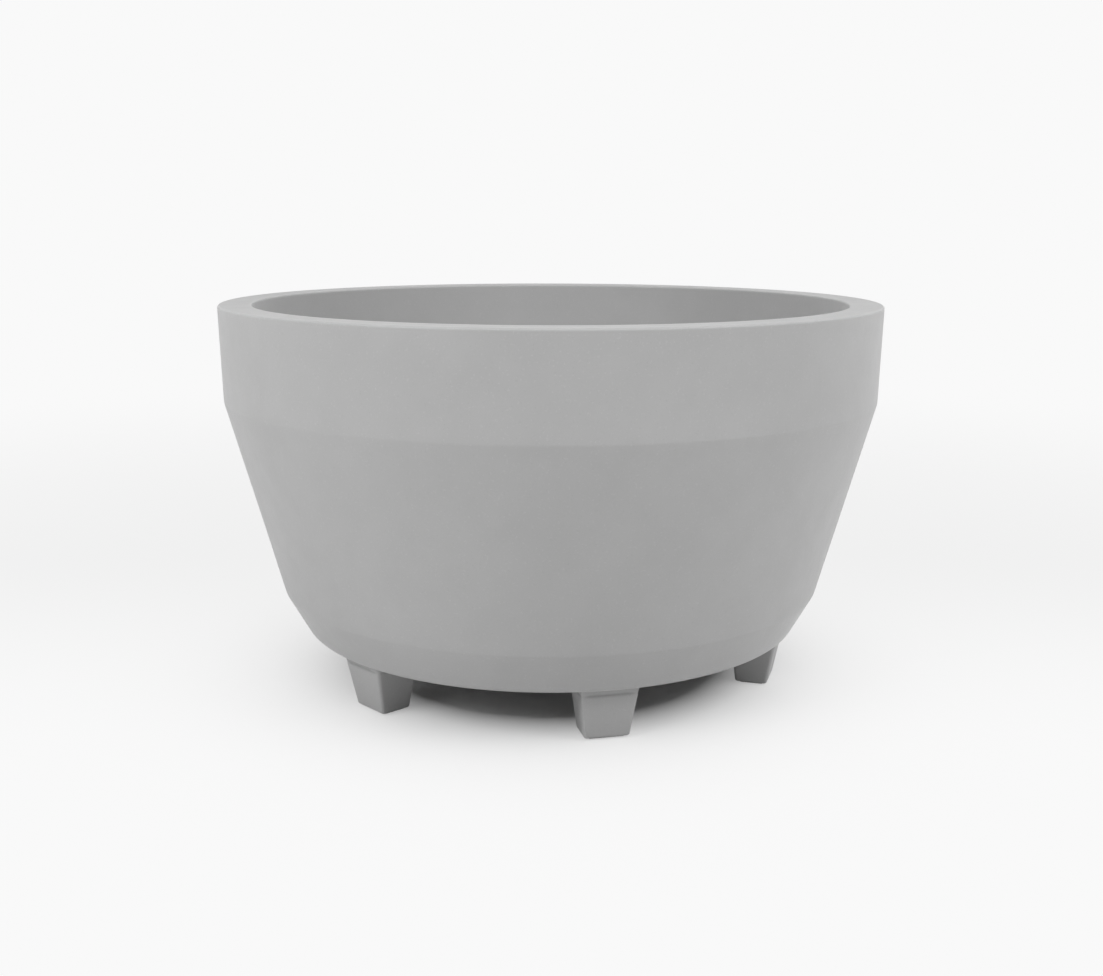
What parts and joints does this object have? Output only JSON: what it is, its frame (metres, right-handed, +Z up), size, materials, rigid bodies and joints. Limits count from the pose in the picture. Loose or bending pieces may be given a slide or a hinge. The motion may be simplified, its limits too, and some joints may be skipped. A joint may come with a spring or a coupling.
{
  "type": "flower pot",
  "caption": "Wide round bowl planter with an upright band under a flat rim, a tapered wall and short drafted feet; double-walled, with a drain stopper in its floor.",
  "frame": {"origin": "on the floor, on the pot's axis", "axes": "+Z up along the pot's axis; the first foot points to -Y"},
  "size_m": [0.5997, 0.5998, 0.345],
  "materials": {
    "pot_grey": "matte grey moulded plastic with stone powder",
    "pad_rubber": "dull black rubber",
    "screw_steel": "zinc-plated",
    "insert_brass": "turned brass",
    "plug_grey": "dark grey moulded plastic",
    "seal_rubber": "black rubber"
  },
  "bodies": {
    "pot": {"outer_shell": "pot_grey", "inner_tub": "pot_grey", "foot_1": "pot_grey", "foot_2": "pot_grey", "foot_3": "pot_grey", "foot_4": "pot_grey", "foot_5": "pot_grey", "foot_6": "pot_grey", "foot_pad_1": "pad_rubber", "foot_pad_2": "pad_rubber", "foot_pad_3": "pad_rubber", "foot_pad_4": "pad_rubber", "foot_pad_5": "pad_rubber", "foot_pad_6": "pad_rubber", "foot_screws": "screw_steel", "foot_inserts": "insert_brass"},
    "plug": {"drain_plug": "plug_grey", "plug_seal": "seal_rubber"}
  },
  "joints": [
    {"name": "plug_lift", "type": "slide", "parent": "pot", "child": "plug", "axis": [0, 0, 1], "range_m": [0, 0.32]}
  ]
}
